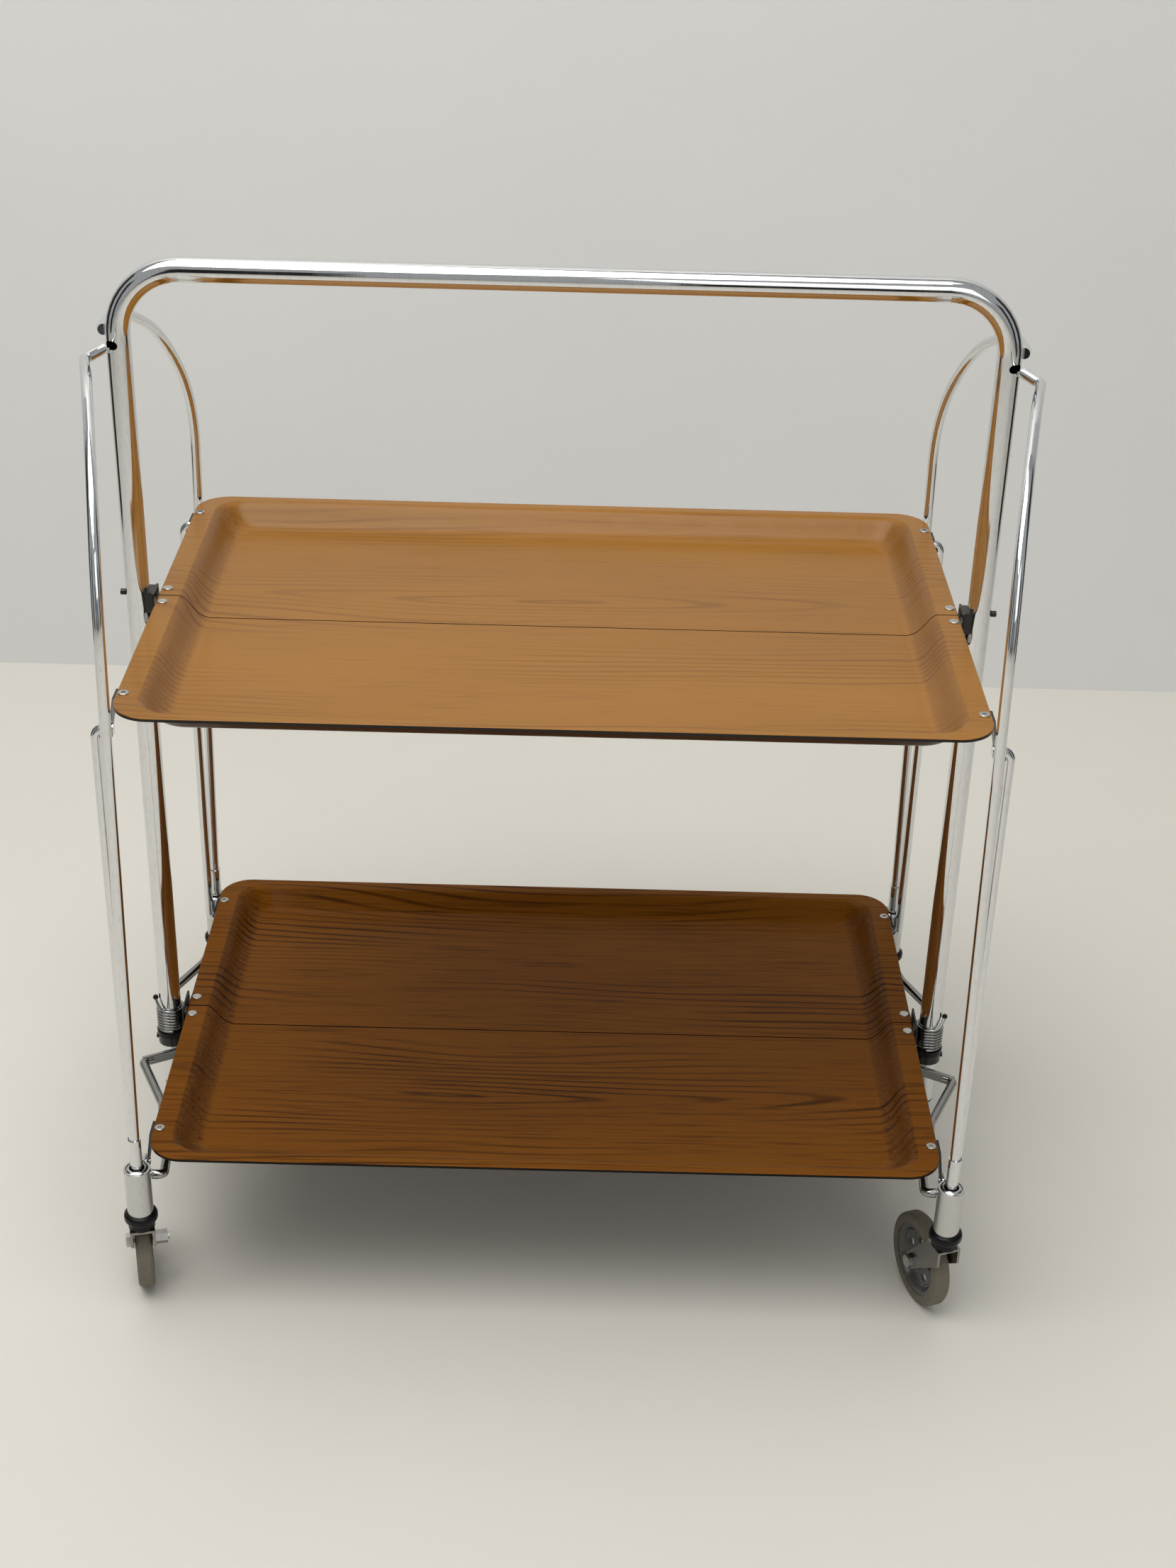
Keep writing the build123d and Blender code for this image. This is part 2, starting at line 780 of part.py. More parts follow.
def brace():
    """Flat strap from the lower hinge plate round the tube, then a rod hooked onto the socket's stud."""
    z = lower_rim_height - brace_pivot_drop
    eye_x = brace_eye_outer_x - brace_eye_width / 2
    far_pivot = corner_pivot_offset - pivot_offset + brace_pivot_offset
    turn = Vector(eye_x, brace_turn_y, z)
    elbow = Vector(brace_elbow_x, brace_elbow_y, z)
    strap_path = FilletPolyline(Vector(eye_x, brace_pivot_offset, z), turn, elbow, radius=brace_start_bend)
    section = Plane(origin=strap_path @ 0, x_dir=(0, 0, 1), z_dir=strap_path % 0)
    section *= RectangleRounded(brace_strap_height, brace_strap_thickness, brace_strap_round)
    strap = sweep(section, path=strap_path)
    points = [
        elbow + (turn - elbow).normalized() * brace_root,
        elbow,
        Vector(brace_mid_x, brace_mid_y, z),
        Vector(brace_far_x, brace_far_y, z),
        Vector(brace_hook_x, far_pivot, z),
        Vector(brace_end_x, far_pivot, z),
    ]
    radii = bend_radii(points, (brace_elbow_bend, brace_bend, brace_bend, brace_hook_bend))
    rod = strap + swept_rod(points, radii, brace_radius)
    inner_x = brace_eye_outer_x - brace_eye_width
    reach = brace_eye_radius
    rod += x_rod(brace_eye_radius, inner_x, brace_eye_outer_x, brace_pivot_offset, z)
    for low, high in ((0, inner_x), (brace_eye_outer_x, brace_elbow_x)):
        rod -= block(
            (low, brace_pivot_offset - reach, z - reach),
            (high, brace_pivot_offset + reach, z + reach),
        )
    rod -= x_rod(pin_radius + pin_clearance, 0, leg_x, brace_pivot_offset, z)
    stud_room = x_rod(brace_stud_radius + pin_clearance, brace_hook_x + brace_radius, leg_x, far_pivot, z)
    return rod - stud_room


# Casters, drawn with the stem at the origin, the wheel behind it at +Y
def tyre():
    """Solid tyre with rounded shoulders."""
    ring = x_rod(wheel_radius, -tyre_width / 2, tyre_width / 2, 0, 0)
    ring = fillet(ring.edges().filter_by(GeomType.CIRCLE), tyre_round)
    ring -= x_rod(wheel_radius - tyre_thickness, -tyre_width, tyre_width, 0, 0)
    return Pos(0, trail, wheel_radius) * ring


def hub():
    """Disc hub with a rolled rim, a ridge, oval holes and a centre boss."""
    outer = wheel_radius - tyre_thickness - hub_clearance
    near = [
        (width * boss_width / 2, radius * outer)
        for radius, width in zip(hub_radius_shares, hub_width_shares)
    ]
    far = [(-x, radius) for x, radius in reversed(near)]
    solid = revolve(make_face(Polyline(*near, *far, close=True)), axis=Axis.X)
    start = Plane(origin=(-tyre_width, 0, outer * hub_hole_circle_share), x_dir=(0, 1, 0), z_dir=(1, 0, 0))
    oval = extrude(start * SlotOverall(hub_hole_length, hub_hole_width), 2 * tyre_width, dir=(1, 0, 0))
    for step in range(hub_hole_count):
        solid -= Rot(360 * step / hub_hole_count, 0, 0) * oval
    solid -= x_rod(axle_radius + axle_clearance, -tyre_width, tyre_width, 0, 0)
    return Pos(0, trail, wheel_radius) * solid


def fork():
    """Folded steel fork with its riveted stem."""
    half = fork_inner_width / 2
    outer = half + fork_thickness
    top = fork_top_height + fork_thickness
    solid = block((-outer, -fork_front, fork_top_height), (outer, fork_back, top))
    back_y, back_z = (share * fork_eye_radius for share in fork_back_edge_shares)
    front_y, front_z = (share * fork_eye_radius for share in fork_front_edge_shares)
    outline = (
        (-fork_front, top),
        (fork_back, top),
        (trail + back_y, wheel_radius + back_z),
        (trail, wheel_radius),
        (trail - front_y, wheel_radius - front_z),
        (-fork_front, fork_top_height - fork_front_drop),
    )
    for start in (-outer, half):
        stop = start + fork_thickness
        solid += x_plate(outline, start, stop) + x_rod(fork_eye_radius, start, stop, trail, wheel_radius)
    solid += z_rod(stem_radius, fork_top_height, stem_top_height)
    return solid - x_rod(axle_radius + pin_clearance, -2 * outer, 2 * outer, trail, wheel_radius)


def hexagon(across, start_x, end_x):
    face = Plane.YZ * RegularPolygon(across / 2, 6, major_radius=False)
    return Pos(start_x, trail, wheel_radius) * extrude(face, end_x - start_x, dir=(1, 0, 0))


def axle_bolt():
    """Hex bolt through fork and wheel, with two nuts, as separate solids."""
    outer = fork_inner_width / 2 + fork_thickness
    nuts_start = outer + nut_gap
    nuts_end = nuts_start + nut_count * (nut + nut_gap)
    head = hexagon(bolt_head_across, -outer - nut_gap - bolt_head, -outer - nut_gap)
    shaft = x_rod(axle_radius, -outer - nut_gap - bolt_head / 2, nuts_end + bolt_end, trail, wheel_radius)
    bore = x_rod(axle_radius + pin_clearance, 0, 2 * nuts_end, trail, wheel_radius)
    nuts = []
    for step in range(nut_count):
        start = nuts_start + step * (nut + nut_gap)
        nuts.append(hexagon(bolt_head_across, start, start + nut) - bore)
    return [head + shaft] + nuts


def stand_caster(shape, side, end, yaw):
    return Pos(side * leg_x, end * leg_y, 0) * (Rot(0, 0, yaw) * shape)


sides = (("left", -1), ("right", 1))
ends = (("front", -1), ("rear", 1))
levels = (("upper", upper_rim_height), ("lower", lower_rim_height))

# Handle group
write("handle_tube", [handle()])
write("tube_end_caps", [place(end_cap(), side, 1) for _, side in sides])
upper_plate = upper_hinge_plate()
lower_plate = lower_hinge_plate()
write("upper_hinge_plates", [place(upper_plate, side, 1) for _, side in sides])
write("lower_hinge_plates", [place(lower_plate, side, 1) for _, side in sides])

pin_inner_x = leaf_outer_x - leaf_thickness - pin_play - pin_head
brace_pin_inner_x = brace_eye_outer_x - brace_eye_width - pin_play - pin_head
pins = []
for _, side in sides:
    for _, end in ends:
        for _, rim in levels:
            pins.append(place(hinge_pin(pivot_offset, rim - pivot_drop, pin_inner_x), side, end))
        brace_z = lower_rim_height - brace_pivot_drop
        pins.append(place(hinge_pin(brace_pivot_offset, brace_z, brace_pin_inner_x), side, end))
write("hinge_pins", pins)

pin_rows = (
    (upper_rim_height + cross_pin_rise, cross_pin_reach, cross_pin_head),
    (lower_pin_height(), clamp_radius + cross_pin_gap + lower_cross_pin_head, lower_cross_pin_head),
)
write("cross_pins", [place(cross_pin(*row), side, 1) for _, side in sides for row in pin_rows])

coil, coil_path = spring()
write("tube_springs", [place(coil, side, 1) for _, side in sides])
write("spring_fittings", [place(piece, side, 1) for _, side in sides for piece in (collar(), spring_tip())])
print("spring least gap to itself", round(spring_gap(coil_path), 3))

# Tray halves with their leaves, brackets and rivets
tray = whole_tray()
for level, rim in levels:
    eye = (upper_eye_radius, tie_rod_radius + pin_clearance)
    if level == "lower":
        eye = (lower_eye_radius, stud_radius + pin_clearance)
    for end_name, end in ends:
        lift = Pos(0, 0, rim)
        write(f"{level}_tray_{end_name}", [tray_half(tray, end, rim)])
        write(f"{level}_{end_name}_leaves", [lift * place(hinge_leaf(), side, end) for _, side in sides])
        bracket = corner_bracket(*eye)
        write(f"{level}_{end_name}_brackets", [lift * place(bracket, side, end) for _, side in sides])
        rivets = [
            rivet(corner_rivet_y, bracket_thickness, True),
            rivet(centre_rivet_y, leaf_thickness, False),
        ]
        placed = [lift * place(one, side, end) for _, side in sides for one in rivets]
        write(f"{level}_{end_name}_rivets", placed)

# Legs, stays, braces and casters
yaws = {
    ("front", "left"): front_left_yaw,
    ("front", "right"): front_right_yaw,
    ("rear", "left"): rear_left_yaw,
    ("rear", "right"): rear_right_yaw,
}
stays = {
    "front": stay(front_arch_top, front_elbow_x, front_tip_rise, front_tip_x, front_lean_shares),
    "rear": stay(rear_arch_top, rear_elbow_x, rear_tip_rise, rear_tip_x, rear_lean_shares),
}
leg_pieces = {"caster_socket": socket(), "socket_bush": bush(), "tie_rod": tie_rod(), "brace": brace()}
caster_pieces = {"tyre": [tyre()], "wheel_hub": [hub()], "caster_fork": [fork()], "axle_bolt": axle_bolt()}
for end_name, end in ends:
    for side_name, side in sides:
        corner = f"{end_name}_{side_name}"
        write(f"stay_{corner}", [place(stays[end_name], side, end)])
        for name, piece in leg_pieces.items():
            write(f"{name}_{corner}", [place(piece, side, end)])
        yaw = yaws[end_name, side_name]
        for name, pieces in caster_pieces.items():
            write(f"{name}_{corner}", [stand_caster(piece, side, end, yaw) for piece in pieces])
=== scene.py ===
"""Looks of the folding serving trolley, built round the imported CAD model. Metres."""
import json
import math

import bpy
from mathutils import Matrix, Vector


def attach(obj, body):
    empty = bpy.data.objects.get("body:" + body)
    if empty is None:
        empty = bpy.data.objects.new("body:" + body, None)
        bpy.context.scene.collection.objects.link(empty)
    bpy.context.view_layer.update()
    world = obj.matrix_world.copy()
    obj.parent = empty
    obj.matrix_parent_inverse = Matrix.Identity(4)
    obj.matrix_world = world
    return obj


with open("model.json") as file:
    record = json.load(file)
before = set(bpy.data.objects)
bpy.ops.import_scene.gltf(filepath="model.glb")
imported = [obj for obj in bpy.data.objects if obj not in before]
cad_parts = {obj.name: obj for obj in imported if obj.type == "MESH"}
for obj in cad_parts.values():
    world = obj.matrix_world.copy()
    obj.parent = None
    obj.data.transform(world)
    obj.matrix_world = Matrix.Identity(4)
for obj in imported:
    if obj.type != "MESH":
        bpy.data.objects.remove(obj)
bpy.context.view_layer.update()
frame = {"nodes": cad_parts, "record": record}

# Camera, from the photograph's perspective. The turns are in degrees
IMAGE_WIDTH = 1659
FOCAL_PIXELS = 3153.06
SENSOR = 36.0
CAMERA_PLACE = (0.015474, -1.559679, 1.224455)
CAMERA_TURN = (-0.38965, -28.74010, -1.63154)
RIGHT_ANGLE = math.radians(90)

# Colours, linear
WOOD_UPPER = (0.310, 0.134, 0.016)
WOOD_UPPER_DARK = (0.150, 0.054, 0.006)
# The lower tray's two laminate colours are darkened with painted shade, for the shade that the upper tray
# casts on it
WOOD_LOWER_WITH_PAINTED_SHADE = (0.225, 0.076, 0.006)
WOOD_LOWER_DARK_WITH_PAINTED_SHADE = (0.024, 0.007, 0.001)
EDGE_BLACK = (0.010, 0.008, 0.007)
UNDERSIDE = (0.060, 0.030, 0.016)
CHROME = (0.74, 0.75, 0.755)
# A darkened copy of the chrome, for the springs and the brace: painted shade and painted reflection
CHROME_WITH_PAINTED_SHADE = (0.34, 0.34, 0.33)
ZINC = (0.58, 0.57, 0.54)
# Near-black of the dark metal pieces under the trays: partly their own colour, partly painted shade and
# painted reflection
DARK_METAL_WITH_PAINTED_SHADE = (0.008, 0.007, 0.006)
BLACK = (0.004, 0.004, 0.004)
TYRE = (0.165, 0.145, 0.105)
HUB = (0.105, 0.104, 0.096)
# A darkened copy of the steel for the caster forks: painted shade, for the shade inside the forks
FORK_STEEL_WITH_PAINTED_SHADE = (0.30, 0.29, 0.27)
SATIN = (0.60, 0.60, 0.59)
DARK_PANEL = (0.012, 0.011, 0.010)
FLOOR = (0.74, 0.715, 0.65)
WALL = (0.80, 0.80, 0.79)

# Wood grain: rings round a wandering axis, and noise that is stretched along the tray
WANDER = dict(scale=(1.1, 6.0, 6.0), noise_scale=1.3, detail=2.0, rough=0.45)
PATCH = dict(scale=(2.2, 9.0, 9.0), noise_scale=1.6, detail=3.0, rough=0.5, offset=(3.0, 1.0, 0))
STREAKS = dict(scale=(3.0, 150.0, 150.0), noise_scale=3.2, detail=4.0, rough=0.62, offset=(7.0, 0, 0))
PORES = dict(scale=(22.0, 420.0, 420.0), noise_scale=3.0, detail=2.0, rough=0.5, offset=(0, 5.0, 0))
CLOUD = dict(scale=(1.6, 5.0, 5.0), noise_scale=1.4, detail=2.0, rough=0.5, offset=(0, 0, 4.0))
SMEAR = dict(scale=(5.0, 9.0, 9.0), noise_scale=2.0, detail=4.0, rough=0.6)
SWAY_WIDTH = 0.11
RING_STRETCH = 0.085
RING_SHIFT = 0.05
RING_RATE = 760.0

# Where each mask of the laminate starts and is full
RING_STOPS = (0.35, 1.0)
PATCH_STOPS = (0.40, 0.66)
STREAK_STOPS = (0.50, 0.72)
PORE_STOPS = (0.58, 0.72)
CLOUD_STOPS = (0.35, 0.70)
SLOPE_STOPS = (0.12, 0.55)
NOT_FLAT_STOPS = (0.05, 0.25)
TOP_STOPS = (0.30, 0.42)
SIDE_STOPS = (-0.55, -0.30)

# How far each mask darkens the laminate
RING_SHARE = 0.75
STREAK_SHARE = 0.62
PORE_SHARE = 0.16
CLOUD_SHARE = 0.16

LAMINATE_ROUGH = 0.26
LAMINATE_SMEAR = 0.14
COAT_SHARE = 0.5
COAT_ROUGH = 0.10
LAMINATE_BUMP = dict(strength=0.05, distance=0.0004)

# Wear of metal and plastic: cloudy at the material's own scale, and fine at many times that
EVEN = (1, 1, 1)
SCRATCHED = (1, 1, 0.25)
WEAR_ROUGH = 0.6
CLOUDY_DETAIL = 5.0
FINE_DETAIL = 3.0
METAL_FINE_RATIO = 14
METAL_CLOUD_STOPS = (0.35, 0.75)
METAL_FINE_STOPS = (0.45, 0.8)
METAL_DULL = 0.86
METAL_BUMP_DISTANCE = 0.0002
PLAIN_FINE_RATIO = 12
PLAIN_CLOUD_STOPS = (0.3, 0.7)
PLAIN_DULL = 1 - 0.15
PLAIN_BUMP_DISTANCE = 0.0003

# Pressed ring in each socket's mouth: the legs' places, and the ring's (radius, height) profile
LEG_X = 0.313
LEG_Y = 0.200
MOUTH_HEIGHT = 0.1322
MOUTH_PROFILE = ((0.0059, 0.0013), (0.0072, 0.0010), (0.00875, 0.0), (0.00875, -0.0012), (0.0059, -0.0012))
MOUTH_STEPS = 72

# Stage
STAGE_SIZE = 12.0
BACKDROP_Y = 0.95
STAGE_ROUGH = 0.75
STAGE_DULL = 0.94
STAGE_NOISE = dict(scale=EVEN, noise_scale=3.0, detail=6.0, rough=WEAR_ROUGH)
PANEL_PLACES = ((-1.75, 0.15), (1.75, 0.15), (-2.4, -1.6), (2.4, -1.6), (-0.9, -3.6), (0.6, -3.7))
PANEL_HEIGHT = 0.75
PANEL_AIM_Y = -0.2
PANEL_SCALE = (0.75, 2.2, 1.0)

# Light
LAMP_TARGET = (0, 0, 0.5)
TOP_LAMP = dict(place=(-0.5, -0.6, 2.9), size=2.4, power=66.0, color=(1.0, 0.985, 0.96))
FRONT_LAMP = dict(place=(0.9, -2.6, 1.9), size=1.6, power=10.0, color=(1.0, 0.99, 0.98))
WORLD_COLOR = (0.86, 0.88, 0.90, 1.0)
WORLD_STRENGTH = 0.42

# Pieces whose look isn't that of their record's material slot, by the start of their name
OWN_LOOKS = {
    "tube_springs": "chrome_with_painted_shade",
    "caster_socket": "satin_chrome",
    "caster_fork": "fork_steel_with_painted_shade",
    "brace": "chrome_with_painted_shade",
}


def set_input(node, name, value):
    """Sets one input of a node."""
    node.inputs[name].default_value = value


def new_material(name):
    """A node material with a Principled shader; returns the material, its tree and the shader."""
    material = bpy.data.materials.new(name)
    material.use_nodes = True
    tree = material.node_tree
    return material, tree, tree.nodes["Principled BSDF"]


def add(tree, kind, **values):
    """Adds a node, with its plain properties."""
    node = tree.nodes.new(kind)
    for key, value in values.items():
        setattr(node, key, value)
    return node


def feed(tree, node, index, value):
    """Gives an input a number, a colour or another node's output."""
    if isinstance(value, (int, float)):
        node.inputs[index].default_value = value
    elif isinstance(value, tuple):
        node.inputs[index].default_value = (*value, 1.0)
    else:
        tree.links.new(value, node.inputs[index])


def calculate(tree, operation, *values):
    """A math node, fed by outputs or numbers; returns its output."""
    node = add(tree, "ShaderNodeMath", operation=operation)
    for index, value in enumerate(values):
        feed(tree, node, index, value)
    return node.outputs[0]


def times(tree, first, second):
    """Multiplies two values."""
    return calculate(tree, "MULTIPLY", first, second)


def plus(tree, first, second):
    """Adds two values."""
    return calculate(tree, "ADD", first, second)


def minus(tree, first, second):
    """Takes the second value from the first."""
    return calculate(tree, "SUBTRACT", first, second)


def split(tree, vector):
    """The X, Y and Z outputs of a vector."""
    node = add(tree, "ShaderNodeSeparateXYZ")
    tree.links.new(vector, node.inputs[0])
    return node.outputs


def mix_color(tree, factor, first, second):
    """Mixes two colours, given as outputs or tuples; returns the colour output."""
    node = add(tree, "ShaderNodeMix", data_type="RGBA")
    for index, value in ((0, factor), (6, first), (7, second)):
        feed(tree, node, index, value)
    return node.outputs[2]


def ramp(tree, value, stops):
    """A smooth step between two positions; returns a 0 to 1 output."""
    node = add(tree, "ShaderNodeMapRange", interpolation_type="SMOOTHSTEP")
    tree.links.new(value, node.inputs["Value"])
    set_input(node, "From Min", stops[0])
    set_input(node, "From Max", stops[1])
    return node.outputs["Result"]


def stretched_noise(tree, coordinates, scale, noise_scale, detail, rough, offset=(0, 0, 0)):
    """Noise on stretched coordinates; returns its 0 to 1 output."""
    mapping = add(tree, "ShaderNodeMapping")
    tree.links.new(coordinates, mapping.inputs["Vector"])
    set_input(mapping, "Scale", scale)
    set_input(mapping, "Location", offset)
    noise = add(tree, "ShaderNodeTexNoise")
    tree.links.new(mapping.outputs["Vector"], noise.inputs["Vector"])
    set_input(noise, "Scale", noise_scale)
    set_input(noise, "Detail", detail)
    set_input(noise, "Roughness", rough)
    return noise.outputs["Fac"]


def bump(tree, shader, height, strength, distance):
    """Feeds a bump from a height output into the shader."""
    node = add(tree, "ShaderNodeBump")
    tree.links.new(height, node.inputs["Height"])
    set_input(node, "Strength", strength)
    set_input(node, "Distance", distance)
    tree.links.new(node.outputs["Normal"], shader.inputs["Normal"])


def wood_rings(tree, place, centre_y, offset):
    """Growth rings, cut lengthways and broken into patches; returns a 0 to 1 output."""
    x, y, _ = split(tree, place)
    wander = stretched_noise(tree, place, offset=offset, **WANDER)
    sway = times(tree, minus(tree, wander, 0.5), SWAY_WIDTH)
    across = plus(tree, minus(tree, y, centre_y), sway)
    along = times(tree, plus(tree, x, offset[0] * RING_SHIFT), RING_STRETCH)
    squares = plus(tree, times(tree, across, across), times(tree, along, along))
    radius = calculate(tree, "SQRT", squares)
    rings = calculate(tree, "SINE", times(tree, radius, RING_RATE))
    patch = stretched_noise(tree, place, **PATCH)
    return times(tree, ramp(tree, rings, RING_STOPS), ramp(tree, patch, PATCH_STOPS))


def laminate(name, light, dark, contrast, gloss, slope_shade, centre_y, offset):
    """Glossy wood-grain laminate with its grain along X, a black edge and a dark underside."""
    material, tree, shader = new_material(name)
    coords = add(tree, "ShaderNodeTexCoord")
    place = coords.outputs["Object"]
    rings = wood_rings(tree, place, centre_y, offset)
    streaks = ramp(tree, stretched_noise(tree, place, **STREAKS), STREAK_STOPS)
    pores = ramp(tree, stretched_noise(tree, place, **PORES), PORE_STOPS)
    cloud = ramp(tree, stretched_noise(tree, place, **CLOUD), CLOUD_STOPS)

    grain = calculate(
        tree, "MAXIMUM",
        times(tree, rings, RING_SHARE * contrast),
        times(tree, streaks, STREAK_SHARE * contrast),
    )
    speckle = times(tree, pores, PORE_SHARE * contrast)
    shade = times(tree, cloud, CLOUD_SHARE)

    # Painted shade: the pressed end slopes are darkened by their tilt, and have no speckle
    normal_x, _, normal_z = split(tree, coords.outputs["Normal"])
    tilt = calculate(tree, "ABSOLUTE", normal_x)
    slope = times(tree, ramp(tree, tilt, SLOPE_STOPS), slope_shade)
    grain = plus(tree, plus(tree, grain, shade), slope)
    flat = minus(tree, 1.0, ramp(tree, tilt, NOT_FLAT_STOPS))
    grain = plus(tree, grain, times(tree, speckle, flat))
    wood = mix_color(tree, calculate(tree, "MINIMUM", grain, 1.0), light, dark)

    # The edge and the underside, by the face's direction in the piece's own frame
    back = mix_color(tree, ramp(tree, normal_z, SIDE_STOPS), UNDERSIDE, EDGE_BLACK)
    color = mix_color(tree, ramp(tree, normal_z, TOP_STOPS), back, wood)
    tree.links.new(color, shader.inputs["Base Color"])

    smear = stretched_noise(tree, place, **SMEAR)
    rough = plus(tree, LAMINATE_ROUGH, times(tree, smear, LAMINATE_SMEAR))
    tree.links.new(rough, shader.inputs["Roughness"])
    set_input(shader, "Specular IOR Level", gloss)
    set_input(shader, "Coat Weight", COAT_SHARE * gloss)
    set_input(shader, "Coat Roughness", COAT_ROUGH)
    bump(tree, shader, plus(tree, streaks, pores), **LAMINATE_BUMP)
    return material


def worn_material(name, scale, fine_ratio, fine_stretch):
    """A new material with its cloudy and its fine wear; returns them after tree and shader."""
    material, tree, shader = new_material(name)
    place = add(tree, "ShaderNodeTexCoord").outputs["Object"]
    cloud = stretched_noise(tree, place, EVEN, scale, CLOUDY_DETAIL, WEAR_ROUGH)
    fine = stretched_noise(tree, place, fine_stretch, scale * fine_ratio, FINE_DETAIL, WEAR_ROUGH)
    return material, tree, shader, cloud, fine


def set_roughness(tree, shader, rough, amount):
    """Leads the roughness from the first of two values to the second."""
    low, high = rough
    result = plus(tree, low, times(tree, amount, high - low))
    tree.links.new(result, shader.inputs["Roughness"])


def set_color(tree, shader, color, dull, amount):
    """Leads the colour to its own share of itself."""
    other = tuple(dull * channel for channel in color)
    tree.links.new(mix_color(tree, amount, color, other), shader.inputs["Base Color"])


def metal(name, color, rough, scale, bump_strength):
    """Bare metal with cloudy wear in its roughness and fine scratches."""
    material, tree, shader, cloud, fine = worn_material(name, scale, METAL_FINE_RATIO, SCRATCHED)
    set_roughness(tree, shader, rough, ramp(tree, cloud, METAL_CLOUD_STOPS))
    set_color(tree, shader, color, METAL_DULL, ramp(tree, fine, METAL_FINE_STOPS))
    set_input(shader, "Metallic", 1.0)
    bump(tree, shader, fine, bump_strength, METAL_BUMP_DISTANCE)
    return material


def plain(name, color, rough, scale, bump_strength, shine=0.5):
    """Plastic, rubber or paint with slight mottling and a fine surface."""
    material, tree, shader, cloud, fine = worn_material(name, scale, PLAIN_FINE_RATIO, EVEN)
    set_color(tree, shader, color, PLAIN_DULL, ramp(tree, cloud, PLAIN_CLOUD_STOPS))
    set_roughness(tree, shader, rough, cloud)
    set_input(shader, "Specular IOR Level", shine)
    bump(tree, shader, fine, bump_strength, PLAIN_BUMP_DISTANCE)
    return material


def stage_material(name, color):
    """Matt and pale, with a slight mottle."""
    material, tree, shader = new_material(name)
    place = add(tree, "ShaderNodeTexCoord").outputs["Object"]
    set_color(tree, shader, color, STAGE_DULL, stretched_noise(tree, place, **STAGE_NOISE))
    set_input(shader, "Roughness", STAGE_ROUGH)
    return material


def paint(node, material):
    """Gives every material slot of a CAD node this material."""
    mesh_object = frame["nodes"][node]
    if not mesh_object.material_slots:
        mesh_object.data.materials.append(material)
    for slot in mesh_object.material_slots:
        slot.material = material


def look_of(entry):
    """The name of the look for one entry of the record's subparts."""
    node = entry["node"]
    for start, look in OWN_LOOKS.items():
        if node.startswith(start):
            return look
    if entry["material_slot"] == "laminate":
        return "upper" if node.startswith("upper") else "lower"
    return entry["material_slot"]


def mouth_ring(name, x, y):
    """A lathed ring, from its profile."""
    count = len(MOUTH_PROFILE)
    points = []
    faces = []
    for step in range(MOUTH_STEPS):
        angle = 2 * math.pi * step / MOUTH_STEPS
        for radius, height in MOUTH_PROFILE:
            points.append((radius * math.cos(angle), radius * math.sin(angle), height))
        here, there = step * count, (step + 1) % MOUTH_STEPS * count
        for index in range(count):
            after = (index + 1) % count
            faces.append((here + index, here + after, there + after, there + index))
    mesh = bpy.data.meshes.new(name)
    mesh.from_pydata(points, [], faces)
    mesh.update()
    ring = bpy.data.objects.new(name, mesh)
    bpy.context.scene.collection.objects.link(ring)
    ring.location = (x, y, MOUTH_HEIGHT)
    ring.data.materials.append(MATERIALS["satin_chrome"])
    return ring


def plane(name, size, place, turn, material):
    """A flat square that belongs to the stage."""
    bpy.ops.mesh.primitive_plane_add(size=size, location=place, rotation=turn)
    square = bpy.context.object
    square.name = name
    square.data.materials.append(material)
    return square


def area_light(name, place, size, power, color):
    """A soft square lamp that looks at the trolley."""
    data = bpy.data.lights.new(name, "AREA")
    data.size = size
    data.energy = power
    data.color = color
    lamp = bpy.data.objects.new(name, data)
    bpy.context.scene.collection.objects.link(lamp)
    lamp.location = place
    direction = Vector(LAMP_TARGET) - Vector(place)
    lamp.rotation_euler = direction.to_track_quat("-Z", "Y").to_euler()


MATERIALS = {
    "upper": laminate(
        "laminate_upper", WOOD_UPPER, WOOD_UPPER_DARK,
        contrast=0.68, gloss=0.22, slope_shade=0.42, centre_y=0.05, offset=(0.0, 0.0, 0.0),
    ),
    # The lower tray: more contrast in its grain, and colours that carry painted shade from the upper tray
    "lower": laminate(
        "laminate_lower_painted_shade", WOOD_LOWER_WITH_PAINTED_SHADE, WOOD_LOWER_DARK_WITH_PAINTED_SHADE,
        contrast=1.0, gloss=0.05, slope_shade=0.30, centre_y=-0.09, offset=(1.7, 0.6, 0.0),
    ),
    "chrome": metal("chrome_plate", CHROME, rough=(0.05, 0.12), scale=40.0, bump_strength=0.03),
    "steel": metal("zinc_steel", ZINC, rough=(0.24, 0.40), scale=90.0, bump_strength=0.12),
    # The dark metal's near-black is partly painted shade
    "dark_metal": plain(
        "dark_metal", DARK_METAL_WITH_PAINTED_SHADE, rough=(0.16, 0.30), scale=120.0, bump_strength=0.10, shine=0.45
    ),
    # Caster forks: steel darkened with painted shade
    "fork_steel_with_painted_shade": metal("fork_steel_with_painted_shade", FORK_STEEL_WITH_PAINTED_SHADE, rough=(0.22, 0.38), scale=90.0, bump_strength=0.10),
    # Painted shade and reflection: the chrome of the springs and the brace, darkened
    "chrome_with_painted_shade": metal(
        "chrome_with_painted_shade", CHROME_WITH_PAINTED_SHADE, rough=(0.08, 0.18), scale=60.0, bump_strength=0.05
    ),
    "satin_chrome": metal("satin_chrome", SATIN, rough=(0.16, 0.28), scale=50.0, bump_strength=0.06),
    "black_plastic": plain(
        "black_plastic", BLACK, rough=(0.22, 0.40), scale=150.0, bump_strength=0.10, shine=0.22
    ),
    "hub_plastic": plain("hub_plastic", HUB, rough=(0.18, 0.34), scale=120.0, bump_strength=0.10),
    "tyre": plain("tyre_rubber", TYRE, rough=(0.55, 0.80), scale=140.0, bump_strength=0.25),
}
DARK_MATTE = plain("dark_matte", DARK_PANEL, rough=(0.8, 0.9), scale=5.0, bump_strength=0.02)

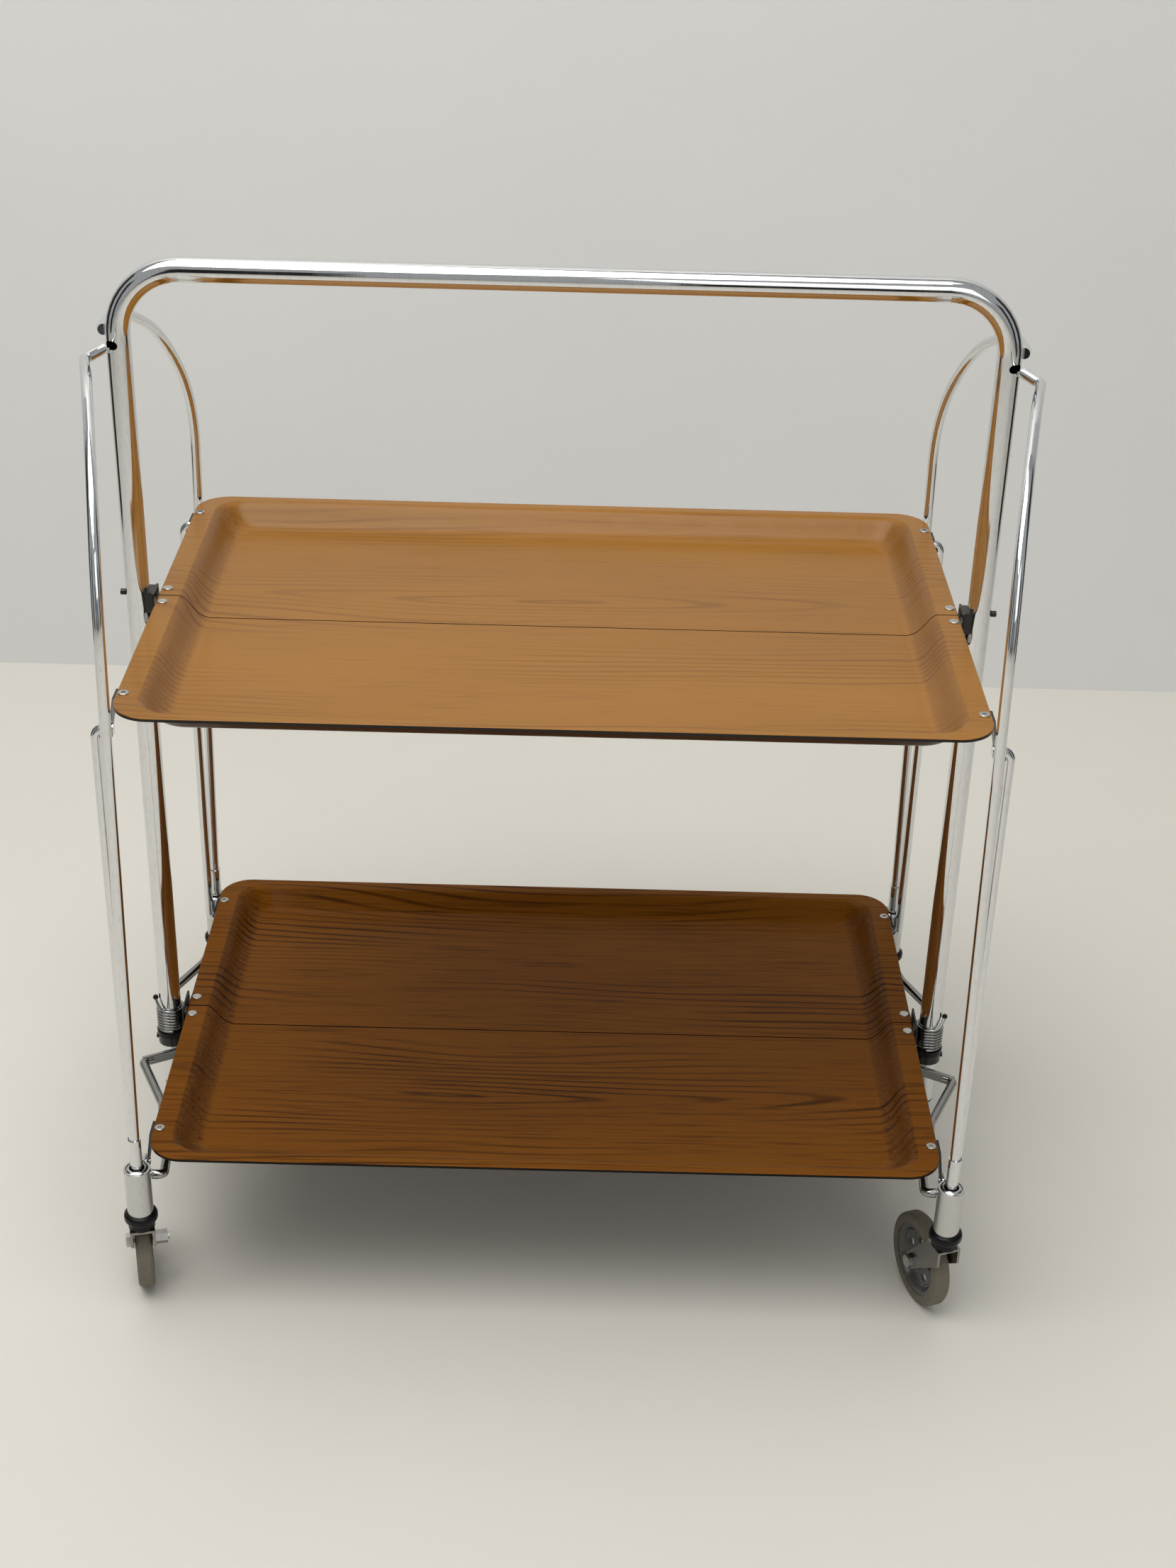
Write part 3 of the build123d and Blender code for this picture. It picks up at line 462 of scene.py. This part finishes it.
for entry in frame["record"]["subparts"]:
    paint(entry["node"], MATERIALS[look_of(entry)])

# The rings close the sockets' mouths round the ferrules, clear of the stays' swing
for end_name, end in (("front", -1), ("rear", 1)):
    for side_name, side in (("left", -1), ("right", 1)):
        corner = f"{end_name}_{side_name}"
        ring = mouth_ring(f"socket_mouth_{corner}", side * LEG_X, end * LEG_Y)
        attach(ring, f"leg_{corner}")

plane("floor", STAGE_SIZE, (0, 0, 0), (0, 0, 0), stage_material("floor_stone", FLOOR))
plane(
    "backdrop", STAGE_SIZE, (0, BACKDROP_Y, 0), (RIGHT_ANGLE, 0, 0),
    stage_material("backdrop_plaster", WALL),
)

# Dark panels round the stage, unseen by the camera, draw the black lines along the chrome
for panel_x, panel_y in PANEL_PLACES:
    face_turn = math.atan2(-panel_x, panel_y - PANEL_AIM_Y)
    panel = plane(
        "dark_panel", 1.0, (panel_x, panel_y, PANEL_HEIGHT), (RIGHT_ANGLE, 0, face_turn), DARK_MATTE
    )
    panel.scale = PANEL_SCALE
    panel.visible_camera = False

area_light("top_lamp", **TOP_LAMP)
area_light("front_lamp", **FRONT_LAMP)

world = bpy.data.worlds.new("studio")
bpy.context.scene.world = world
world.use_nodes = True
background = world.node_tree.nodes["Background"]
set_input(background, "Color", WORLD_COLOR)
set_input(background, "Strength", WORLD_STRENGTH)

camera_data = bpy.data.cameras.new("camera")
camera_data.sensor_width = SENSOR
camera_data.sensor_fit = "HORIZONTAL"
camera_data.lens = FOCAL_PIXELS * SENSOR / IMAGE_WIDTH
camera = bpy.data.objects.new("camera", camera_data)
bpy.context.scene.collection.objects.link(camera)
yaw, pitch, roll = (math.radians(angle) for angle in CAMERA_TURN)
turn = Matrix.Rotation(yaw, 4, "Z") @ Matrix.Rotation(pitch, 4, "X") @ Matrix.Rotation(roll, 4, "Y")
level = Matrix.Rotation(RIGHT_ANGLE, 4, "X")
camera.matrix_world = Matrix.Translation(CAMERA_PLACE) @ turn @ level
bpy.context.scene.camera = camera
bpy.context.scene.view_settings.view_transform = "Standard"
